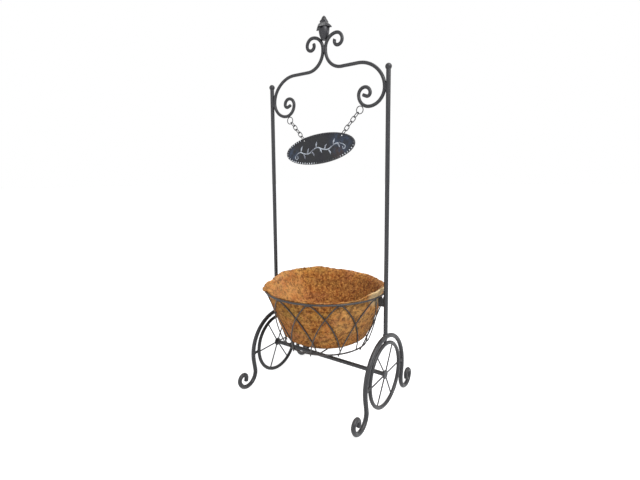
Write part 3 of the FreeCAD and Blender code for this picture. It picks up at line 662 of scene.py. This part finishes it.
def bowl_section(bm):
    """Half of the bowl's cut face, from under its middle over the lip to its inside floor."""
    # each corner's radius and height, and the number of pieces up to the next one
    corners = [
        (0.0, LINER_LOW, 16), (LINER_FLOOR_RADIUS, LINER_LOW, 6), (*LINER_CORNER, 34),
        (*LINER_AT_RIM, 6), (LINER_LIP_RADIUS, LIP_LOW, 3),
        (LINER_LIP_RADIUS - LINER_LIP_WALL, LIP_LOW, 6),
        (LINER_AT_RIM[0] - LINER_WALL, LINER_AT_RIM[1], 34),
        (LINER_CORNER[0] - LINER_WALL, LINER_CORNER[1] + LINER_WALL / 2, 6),
        (LINER_FLOOR_RADIUS, LINER_LOW + LINER_WALL, 16), (0.0, LINER_LOW + LINER_WALL, 0),
    ]
    last = None
    for (radius, height, cuts), (to_radius, to_height, _) in zip(corners, corners[1:]):
        for step in range(cuts):
            share = step / cuts
            vert = bm.verts.new((radius + (to_radius - radius) * share, 0,
                                 height + (to_height - height) * share))
            if last:
                bm.edges.new((last, vert))
            last = vert
    bm.edges.new((last, bm.verts.new((corners[-1][0], 0, corners[-1][1]))))


def folded(way, share, inside, fold):
    """A point of the lip where it is pressed down over the rim wire."""
    middle = FOLD_ROOM + FOLD_WALL / 2
    along = share * FOLD_REACH * (0.5 + 0.5 * fold)
    turned = min(FOLD_TURN * fold, along / middle)
    beyond = along - turned * middle
    away = FOLD_ROOM + (FOLD_WALL if inside else 0.0)
    radius = RIM_RADIUS - away * math.cos(turned) + beyond * math.sin(turned)
    height = RIM_HEIGHT + away * math.sin(turned) + beyond * math.cos(turned)
    return way * radius + Vector((0, 0, height))


def ruffle(at):
    """Where a point of the even bowl lies on the real, wavy one."""
    radius = math.hypot(at.x, at.y)
    if radius < ON_AXIS:
        return at
    angle = math.degrees(math.atan2(at.y, at.x))
    lip = RIM_HEIGHT + along_line(LIP_LINE, angle)
    way = level_way(at)
    ragged = layered(way, LIP_RAGGEDNESS)
    corner_radius, corner_height = LINER_CORNER
    rise = max(0.0, (at.z - corner_height) / (LIP_LOW - corner_height))
    high = max(0.0, (at.z - SHOULDER) / (LIP_LOW - SHOULDER))
    height = at.z + (lip - LIP_LOW + ragged) * high
    mid_wall = corner_radius + (LINER_AT_RIM[0] - corner_radius) * rise - LINER_WALL / 2
    inside = radius < mid_wall and at.z > LINER_LOW + LINER_WALL * 0.6
    lumps = layered(at, LUMPS)
    fine = layered(at, FINE_GRAIN)
    lift = layered(at, FLOOR_GRAIN) if rise == 0.0 else 0.0
    if inside:
        move = lumps * INSIDE_LUMPS + fine * INSIDE_GRAIN + INSIDE_SHIFT
    else:
        move = min(0.0, lumps * OUTSIDE_LUMPS + OUTSIDE_SHIFT) - abs(fine) * OUTSIDE_GRAIN
        lift = abs(lift)
    over_wire = held((height - RIM_HEIGHT - LEAN_FROM) / LEAN_FULL_AFTER)
    flare = max(0.0, height - LIP_LOW) * FLARE + along_line(LEAN_LINE, angle) * over_wire
    share = (radius + move + flare) / radius
    place = Vector((at.x * share, at.y * share, height + lift))
    fold = along_line(FOLD_LINE, angle)
    if fold > 0.0 and at.z > SHOULDER:
        place = pressed_over(at, place, way, ragged, fold)
    return place


def pressed_over(at, place, way, ragged, fold):
    """Moves a point of the lip from its wavy place towards its folded one."""
    above = max(0.0, (at.z - RIM_HEIGHT) / (LIP_LOW - RIM_HEIGHT))
    lip_middle = LINER_LIP_RADIUS - LINER_LIP_WALL / 2
    wall_middle = LINER_AT_RIM[0] - LINER_WALL / 2
    within = math.hypot(at.x, at.y) < wall_middle + (lip_middle - wall_middle) * above
    over = folded(way, above, within, fold)
    over.z += min(0.0, at.z - RIM_HEIGHT)
    over += way * (ragged * above * FOLD_RAGGEDNESS)
    weight = min(1.0, fold * FOLD_START) * min(1.0, (at.z - SHOULDER) / (RIM_HEIGHT - SHOULDER))
    return place.lerp(over, weight)


def soften(bm, verts):
    """Evens out the surface at the given points."""
    bmesh.ops.smooth_vert(bm, verts=verts, factor=0.5, use_axis_x=True, use_axis_y=True,
                          use_axis_z=True)


def wires_round():
    """The basket's wires and the plates it hangs in, for finding the nearest of them."""
    bm = bmesh.new()
    for name, piece in nodes.items():
        if name.startswith("basket") or name.endswith("rim_hook"):
            bm.from_mesh(piece.data)
    wires = BVHTree.FromBMesh(bm)
    bm.free()
    return wires


# the wall moves out in steps, up to the most, until a wire is nearer than the room it needs
SWELL_MOST = 0.0048
SWELL_STEP = 0.0004
WIRE_ROOM = 0.0014
# it starts and ends this far below the corner and the rim, where the wall faces outwards
SWELL_BELOW = 0.004
SWELL_FACING = 0.3


def swell(bm):
    """Lets the outside of the wall swell between the wires, as soft fibre does."""
    wires = wires_round()
    bm.normal_update()
    low = LINER_CORNER[1] - SWELL_BELOW
    high = RIM_HEIGHT - SWELL_BELOW
    swollen = []
    for vert in bm.verts:
        way = level_way(vert.co)
        if not low < vert.co.z < high or vert.normal.dot(way) < SWELL_FACING:
            continue
        share = (vert.co.z - low) / (high - low)
        # little at the foot and the rim, and the most between them
        most = SWELL_MOST * min(1.0, 0.25 + 2.5 * share, 4.0 * (1.0 - share))
        moved = 0.0
        while moved < most:
            distance = wires.find_nearest(vert.co + way * (moved + SWELL_STEP))[3]
            if distance < WIRE_ROOM:
                break
            moved += SWELL_STEP
        vert.co += way * moved
        swollen.append(vert)
    soften(bm, swollen)


# an odd slope, so that no two points of a section come at the same place in the order
ORDER_SLOPE = 0.7318


def bowl_order(at, turned):
    """Where a point comes in the bowl: wedge by wedge, and along the section in each."""
    out = math.hypot(at.x, at.y)
    if out < ON_AXIS:
        # the two points on the axis come first
        return at.z - 1.0
    wedge = math.atan2(at.y, at.x) / math.tau * LINER_STEPS - turned
    return round(wedge) % LINER_STEPS + at.z + out * ORDER_SLOPE


def make_liner():
    """The fibre bowl: a spun section, softened, then ruffled and swollen all round."""
    bm = bmesh.new()
    bowl_section(bm)
    bmesh.ops.spin(bm, geom=bm.verts[:] + bm.edges[:], cent=(0, 0, 0), axis=(0, 0, 1),
                   angle=math.tau, steps=LINER_STEPS, use_merge=True)
    bmesh.ops.remove_doubles(bm, verts=bm.verts[:], dist=SAME_PLACE)
    # merging leaves the parts in a varying order, and the loose fibres are drawn by it
    bm.verts.sort(key=lambda vert: bowl_order(vert.co, 0.0))
    bm.faces.sort(key=lambda face: bowl_order(face.calc_center_median(), 0.5))
    for _ in range(LINER_SOFTENINGS):
        soften(bm, bm.verts[:])
    for vert in bm.verts:
        vert.co = ruffle(vert.co)
    bmesh.ops.recalc_face_normals(bm, faces=bm.faces[:])
    swell(bm)
    return bm


# the loose fibres: how many, above what height, and the ranges of length and half thickness
STRANDS = 2600
STRANDS_FROM = LINER_LOW + 0.004
STRAND_LENGTHS = (0.006, 0.018)
STRAND_HALVES = (0.00010, 0.00019)
# how deep one is rooted, and the most that it bends to a side, as a share of its length
STRAND_ROOT = 0.0004
STRAND_BEND = 0.35
# a face of the lip's top looks up at least this much
LIP_FACING = 0.6
# on the wall it lies flat and dips in at its end; on the lip it is shorter and stands up
WALL_STRAND_RISE = 0.0005
WALL_STRAND_END = -0.0003
LIP_STRAND_SHARE = 0.45
LIP_STRAND_RISES = (0.0005, 0.0032)


def stray_fibres(bm):
    """Loose fibres: most lie on the wall, and some stand up from the lip."""
    chance = random.Random(FIBRE_SEED)
    bm.faces.ensure_lookup_table()
    strokes = []
    while len(strokes) < STRANDS:
        face = chance.choice(bm.faces)
        start = face.calc_center_median()
        if start.z < STRANDS_FROM:
            continue
        normal = face.normal
        side = normal.orthogonal().normalized()
        side.rotate(Matrix.Rotation(chance.uniform(0, math.tau), 3, normal))
        on_lip = normal.z > LIP_FACING and start.z > RIM_HEIGHT
        length = chance.uniform(*STRAND_LENGTHS)
        rise = WALL_STRAND_RISE
        if on_lip:
            length *= LIP_STRAND_SHARE
            rise = chance.uniform(*LIP_STRAND_RISES)
        bend = normal.cross(side) * chance.uniform(-STRAND_BEND, STRAND_BEND) * length
        middle = start + side * length / 2 + bend + normal * rise * 0.7
        end = start + side * length + normal * (rise if on_lip else WALL_STRAND_END)
        half = chance.uniform(*STRAND_HALVES)
        root = start - normal * STRAND_ROOT
        strokes.append([(root, half), (middle, half), (end, half * 0.6)])
    return strokes


bowl = make_liner()
fibres = strokes_mesh("coir_strands", stray_fibres(bowl), 0)
add_piece("coir_liner", mesh_of(bowl, "coir_liner"), "liner", coir_mat, ["coco_liner"])
add_piece("coir_strands", fibres, "liner", coir_strand)


# Hanging sign

# the raised band: how far inside the board's edge it starts, and its rounded corners
RIM_INSET = 0.0002
RIM_ROUNDING = 0.0008
SHARP_EDGE = 1.2
OVAL_SEGMENTS = 168
# the flutes on it: small steps measure the oval, and none lies close to a hole
OVAL_STEPS = 2000
HOLE_MARGIN = 0.011
RIM_FLUTES = 62
FLUTE_HALF_LENGTH = 0.0032
FLUTE_HALF_WIDTH = 0.0018
FLUTE_RISE = 0.0036


def hang(bm):
    """Moves a piece made flat about the origin to where the sign hangs."""
    turned = Matrix.Rotation(-SIGN_TILT, 4, "Y") @ Matrix.Rotation(math.pi / 2, 4, "X")
    bmesh.ops.transform(bm, matrix=Matrix.Translation(SIGN_MIDDLE) @ turned, verts=bm.verts[:])


def make_sign_rim():
    """The raised band round the board: two ovals bridged, given thickness and rounded."""
    bm = bmesh.new()
    edges = []
    for inset in (0.0, SIGN_RIM_WIDTH):
        oval = bmesh.ops.create_circle(bm, segments=OVAL_SEGMENTS, radius=1.0)["verts"]
        bmesh.ops.scale(bm, vec=(SIGN_HALF_LENGTH - RIM_INSET - inset,
                                 SIGN_HALF_HEIGHT - RIM_INSET - inset, 1.0), verts=oval)
        edges += {edge for vert in oval for edge in vert.link_edges}
    band = bmesh.ops.bridge_loops(bm, edges=edges)["faces"]
    raised = bmesh.ops.extrude_face_region(bm, geom=band)["geom"]
    top = [item for item in raised if isinstance(item, bmesh.types.BMVert)]
    bmesh.ops.translate(bm, vec=(0, 0, SIGN_RIM_THICKNESS), verts=top)
    bmesh.ops.translate(bm, vec=(0, 0, -SIGN_RIM_THICKNESS / 2), verts=bm.verts[:])
    bmesh.ops.recalc_face_normals(bm, faces=bm.faces[:])
    corners = [edge for edge in bm.edges if edge.calc_face_angle(0) > SHARP_EDGE]
    bmesh.ops.bevel(bm, geom=corners, offset=RIM_ROUNDING, offset_type="OFFSET",
                    affect="EDGES", segments=2, profile=0.5, material=-1)
    hang(bm)
    return mesh_of(bm, "sign_rim")


def make_rim_flutes():
    """Short ridges across the band, evenly spaced along the oval except over the holes."""
    bm = bmesh.new()
    long_half = SIGN_HALF_LENGTH - FLUTE_HALF_LENGTH
    short_half = SIGN_HALF_HEIGHT - FLUTE_HALF_LENGTH
    turns = [math.tau * step / OVAL_STEPS for step in range(OVAL_STEPS)]
    points = [Vector((long_half * math.cos(turn), short_half * math.sin(turn), 0))
              for turn in turns]
    lengths = [(points[step] - points[step - 1]).length for step in range(OVAL_STEPS)]
    pitch = sum(lengths) / RIM_FLUTES
    shape = Matrix.Diagonal((FLUTE_HALF_WIDTH, FLUTE_HALF_LENGTH, FLUTE_RISE, 1.0))
    travelled = 0.0
    due = 0.0
    for point, length in zip(points, lengths):
        travelled += length
        if travelled < due:
            continue
        due += pitch
        if point.y > 0 and min(abs(point.x - hole) for hole in SIGN_HOLES) < HOLE_MARGIN:
            continue
        heading = math.atan2(-short_half ** 2 * point.x, long_half ** 2 * point.y)
        place = Matrix.Translation(point) @ Matrix.Rotation(heading, 4, "Z")
        bmesh.ops.create_icosphere(bm, subdivisions=2, radius=1.0, matrix=place @ shape)
    hang(bm)
    return mesh_of(bm, "sign_rim_flutes")


add_piece("sign_rim", make_sign_rim(), "sign", rim_paint, ["sign_bead"])
add_piece("sign_rim_flutes", make_rim_flutes(), "sign", rim_paint)

# a plain vine: strokes of (across, up, half width) in millimetres from the sign's middle
VINE = (
    ((-78, -6, 0.6), (-66, 3, 1.3), (-50, -6, 1.5), (-34, -9, 1.2), (-20, 0, 1.4),
     (-4, 6, 1.5), (12, -3, 1.3), (28, -7, 1.4), (44, 2, 1.5), (60, 8, 1.2), (74, 2, 0.6)),
    ((-78, -6, 0.6), (-84, -13, 1.1), (-76, -18, 1.2), (-70, -12, 1.0), (-75, -9, 0.5)),
    ((74, 2, 0.6), (83, -3, 1.1), (80, -12, 1.2), (72, -10, 1.0), (75, -5, 0.5)),
)
# leaves on it: (across, up, length, turn in degrees)
LEAVES = ((-60, 1, 17, 62), (-52, -6, 15, -75), (-38, -8, 16, 70), (-24, -4, 14, -60),
          (-8, 5, 16, 75), (2, 3, 15, -70), (18, -5, 16, 60), (30, -7, 14, -65),
          (46, 3, 16, 68), (58, 7, 15, -62))
# one press of the brush: (share of the leaf's length, half width, sway to one side)
BRUSH_PRESS = ((0.0, 0.5, 0.0), (0.3, 2.1, 1.0), (0.62, 2.4, 1.2), (0.85, 1.3, 0.6),
               (1.0, 0.3, 0.0))
# how much flatter than round the paint of a stroke lies
PAINT_FLATNESS = 0.12


def leaf_stroke(across, up, length, turn):
    """One press of the brush: thin, full, then drawn out to a point."""
    way = math.radians(turn)
    stroke = []
    for share, half, sway in BRUSH_PRESS:
        along = length * share
        stroke.append((across + along * math.cos(way) - sway * math.sin(way),
                       up + along * math.sin(way) + sway * math.cos(way), half))
    return stroke


def make_flourish():
    """The painted vine, as thin paint on the board's front face."""
    drawn = [*VINE, *(leaf_stroke(*leaf) for leaf in LEAVES)]
    strokes = [[(on_sign(across, up), half / 1000) for across, up, half in stroke]
               for stroke in drawn]
    mesh = strokes_mesh("sign_flourish", strokes, 2)
    bm = bmesh.new()
    bm.from_mesh(mesh)
    bpy.data.meshes.remove(mesh)
    bmesh.ops.scale(bm, vec=(1, PAINT_FLATNESS, 1), verts=bm.verts[:])
    bmesh.ops.translate(bm, vec=(0, SIGN_FACE, 0), verts=bm.verts[:])
    return mesh_of(bm, "sign_flourish")


add_piece("sign_flourish", make_flourish(), "sign", flourish_paint)


# Welds

ARCHES = 11
POST_HALF = 0.0054
# how high above the hubs the two scrolls meet
SCROLL_JOIN_UP = 0.8168
# fillets: (half of the rod, how far it spreads, height)
POST_FILLET = (POST_HALF, 0.0020, 0.0030)
AXLE_FILLET = (0.0055, 0.0018, 0.0026)
STUD_FILLET = (0.0035, 0.0014, 0.0024)
# how far a fillet's middle stands off the piece it is on
POST_FILLET_OFF = 0.0006
AXLE_FILLET_OFF = 0.0010
STUD_FILLET_OFF = 0.0003
# spots between rods side by side: (length, width)
SCROLL_SPOT = (0.026, 0.0062)
JOIN_SPOT = (0.020, 0.0052)
RIM_SPOT = (0.0085, 0.0034)
FOOT_SPOT = (0.0060, 0.0050)
# how far below the rim wire its spots lie, and how far to the front and back the join's
RIM_SPOT_DROP = 0.0026
JOIN_SPOT_OUT = 0.0028
# how rough welds are: (fineness, amount)
FILLET_ROUGHNESS = (400.0, 0.35)
SPOT_ROUGHNESS = (500.0, 0.12)


def roughen(verts, size, roughness):
    """Makes a weld uneven; size is the measure that the amount is a share of."""
    fineness, amount = roughness
    for vert in verts:
        vert.co += noise.noise_vector(vert.co * fineness) * size * amount


def pole_frame(at, along):
    """A place whose Z axis runs along a direction."""
    return Matrix.Translation(at) @ along.to_track_quat("Z", "Y").to_matrix().to_4x4()


def weld_collar(bm, at, along, rod, spread, height):
    """The fillet of weld round a rod where it stands on another piece."""
    ring = bmesh.ops.create_cone(bm, cap_ends=False, segments=20, radius1=rod + spread,
                                 radius2=rod, depth=height, matrix=pole_frame(at, along))
    roughen(ring["verts"], spread, FILLET_ROUGHNESS)


def weld_spot(bm, at, along, length, width):
    """A puddle of weld between two rods that lie along each other."""
    shape = Matrix.Diagonal((width, width, length, 1.0))
    puddle = bmesh.ops.create_icosphere(bm, subdivisions=2, radius=0.5,
                                        matrix=pole_frame(at, along) @ shape)
    roughen(puddle["verts"], width, SPOT_ROUGHNESS)


def make_frame_welds():
    """Fillets at the posts' feet, hubs and studs, and spots between posts and scrolls."""
    bm = bmesh.new()
    up = Vector((0, 0, 1))
    wheel_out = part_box("right_wheel_rim")[1][2] - HUB.z
    arch_beside = math.sqrt(LEG_ARCH_RADIUS ** 2 - LEG_ARCH_DROP ** 2) - LEG_ROD
    hub_inside = HUB.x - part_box("right_hub")[0][0]
    for side, name in ((-1, "left"), (1, "right")):
        hub = Vector((side * HUB.x, 0, HUB.z))
        weld_collar(bm, hub + up * (LEG_ARCH_UP + POST_FILLET_OFF), up, *POST_FILLET)
        inward = Vector((-side, 0, 0))
        weld_collar(bm, hub + inward * (hub_inside + AXLE_FILLET_OFF), inward, *AXLE_FILLET)
        for angle, arch_in in ((0, arch_beside), (90, LEG_ARCH_UP - 2 * LEG_ROD),
                               (180, arch_beside)):
            way = Vector((0, math.cos(math.radians(angle)), math.sin(math.radians(angle))))
            weld_collar(bm, hub + way * (wheel_out + STUD_FILLET_OFF), way, *STUD_FILLET)
            weld_collar(bm, hub + way * (arch_in - STUD_FILLET_OFF), -way, *STUD_FILLET)
        post_line = Vector((side * (HUB.x - POST_HALF), 0, 0))
        scroll = nodes[name + "_top_scroll"].data.vertices
        touch_height = max((abs(vert.co.x), vert.co.z) for vert in scroll)[1]
        weld_spot(bm, post_line + up * touch_height, up, *SCROLL_SPOT)
        join = Vector((0, side * JOIN_SPOT_OUT, HUB.z + SCROLL_JOIN_UP))
        weld_spot(bm, join, up, *JOIN_SPOT)
    return mesh_of(bm, "frame_welds")


def make_basket_welds():
    """Spots under the rim where each arch meets it, and on the bottom ring at the feet."""
    bm = bmesh.new()
    for number in range(ARCHES):
        arch = nodes["basket_arch_%02d" % (number + 1)].data.vertices
        top = max((vert.co for vert in arch), key=lambda at: at.z)
        middle = math.atan2(top.y, top.x)
        for turn, radius, height, size in (
                (0, RIM_RADIUS, RIM_HEIGHT - RIM_SPOT_DROP, RIM_SPOT),
                (-180 / ARCHES, RING_RADIUS, RING_HEIGHT, FOOT_SPOT),
                (180 / ARCHES, RING_RADIUS, RING_HEIGHT, FOOT_SPOT)):
            angle = middle + math.radians(turn)
            place = Vector((radius * math.cos(angle), radius * math.sin(angle), height))
            along = Vector((-math.sin(angle), math.cos(angle), 0))
            weld_spot(bm, place, along, *size)
    return mesh_of(bm, "basket_welds")


add_piece("frame_welds", make_frame_welds(), "frame", weld_paint)
add_piece("basket_welds", make_basket_welds(), "basket", wire_paint)


# Floor, light and camera

CAMERA_PLACE = Vector((0.5936, -0.8532, HUB.z + 0.4916))
CAMERA_TURN = math.radians(35.061)
CAMERA_DIP = math.radians(6.616)
CAMERA_ROLL = math.radians(-0.424)
CAMERA_LENS = 22.04
CAMERA_SENSOR = 36.0
CAMERA_SHIFT = (-0.0059, -0.0255)

SEEN_WHITE = (1, 1, 1, 1)
SKY_LIGHT = (0.93, 0.96, 1.0, 1)
SKY_POWER = 0.40
PAPER_TONES = ((0.80, 0.80, 0.80, 1), (0.84, 0.84, 0.84, 1))
PAPER_BOUNCE = (0.42, 0.42, 0.42, 1)
PAPER_GLOW = 0.78
FLOOR_HALF = 30.0

LAMP_AIM = Vector((0.0, 0.0, 0.45))
# soft boxes: (name, place, size, power)
LAMPS = (("key_softbox", (1.9, -0.7, 2.3), 1.3, 66.0),
         ("fill_softbox", (-0.7, -2.4, 0.4), 1.6, 19.0),
         ("top_softbox", (0.3, 0.8, 2.6), 1.6, 6.0))


def set_camera():
    """The photograph's view: right three-quarter front, a little above the basket."""
    back = Vector((math.sin(CAMERA_TURN) * math.cos(CAMERA_DIP),
                   -math.cos(CAMERA_TURN) * math.cos(CAMERA_DIP), math.sin(CAMERA_DIP)))
    level = Vector((math.cos(CAMERA_TURN), math.sin(CAMERA_TURN), 0))
    upright = back.cross(level)
    across = level * math.cos(CAMERA_ROLL) + upright * math.sin(CAMERA_ROLL)
    upward = upright * math.cos(CAMERA_ROLL) - level * math.sin(CAMERA_ROLL)
    data = bpy.data.cameras.new("camera")
    data.lens = CAMERA_LENS
    data.sensor_width = CAMERA_SENSOR
    data.shift_x, data.shift_y = CAMERA_SHIFT
    camera = bpy.data.objects.new("camera", data)
    turned = Matrix((across, upward, back)).transposed().to_4x4()
    camera.matrix_world = Matrix.Translation(CAMERA_PLACE) @ turned
    bpy.context.scene.collection.objects.link(camera)
    bpy.context.scene.camera = camera


def seen_directly(board):
    """1 for what the camera sees, straight or in a shiny or clear surface."""
    rays = board.tree.nodes.new("ShaderNodeLightPath").outputs
    seen = board.calc("ADD", rays["Is Camera Ray"], rays["Is Glossy Ray"], clamp=True)
    return board.calc("ADD", seen, rays["Is Transmission Ray"], clamp=True)


def set_world():
    """Dim sky light on the stand, and plain white where the world is seen."""
    world = bpy.data.worlds.new("studio")
    world.use_nodes = True
    board = Board(world.node_tree)
    background = world.node_tree.nodes["Background"].inputs
    seen = seen_directly(board)
    board.feed(background["Color"], board.blend(seen, SKY_LIGHT, SEEN_WHITE))
    board.feed(background["Strength"], board.spread(seen, 0.0, 1.0, SKY_POWER, 1.0))
    bpy.context.scene.world = world


def set_floor():
    """White paper that glows a little where it is seen, and bounces less light."""
    bm = bmesh.new()
    bmesh.ops.create_grid(bm, x_segments=1, y_segments=1, size=FLOOR_HALF)
    mesh = mesh_of(bm, "floor", smooth=False)
    material, board, shader = new_finish("floor_paper", Specular_IOR_Level=0.1, Roughness=0.9)
    grain = board.noise(board.place(), scale=300.0, detail=2.0)
    paper = board.blend(board.spread(grain, 0.3, 0.7), *PAPER_TONES)
    seen = seen_directly(board)
    board.feed(shader["Base Color"], board.blend(seen, PAPER_BOUNCE, paper))
    shader["Emission Color"].default_value = SEEN_WHITE
    board.feed(shader["Emission Strength"], board.calc("MULTIPLY", seen, PAPER_GLOW))
    mesh.materials.append(material)
    floor = bpy.data.objects.new("floor", mesh)
    bpy.context.scene.collection.objects.link(floor)


def add_lamp(name, place, size, power):
    """A square soft box that looks at the middle of the stand."""
    data = bpy.data.lights.new(name, "AREA")
    data.size = size
    data.energy = power
    lamp = bpy.data.objects.new(name, data)
    lamp.location = place
    lamp.rotation_euler = (LAMP_AIM - Vector(place)).to_track_quat("-Z", "Y").to_euler()
    bpy.context.scene.collection.objects.link(lamp)


set_camera()
set_world()
set_floor()
for lamp in LAMPS:
    add_lamp(*lamp)
bpy.context.scene.view_settings.view_transform = "Standard"
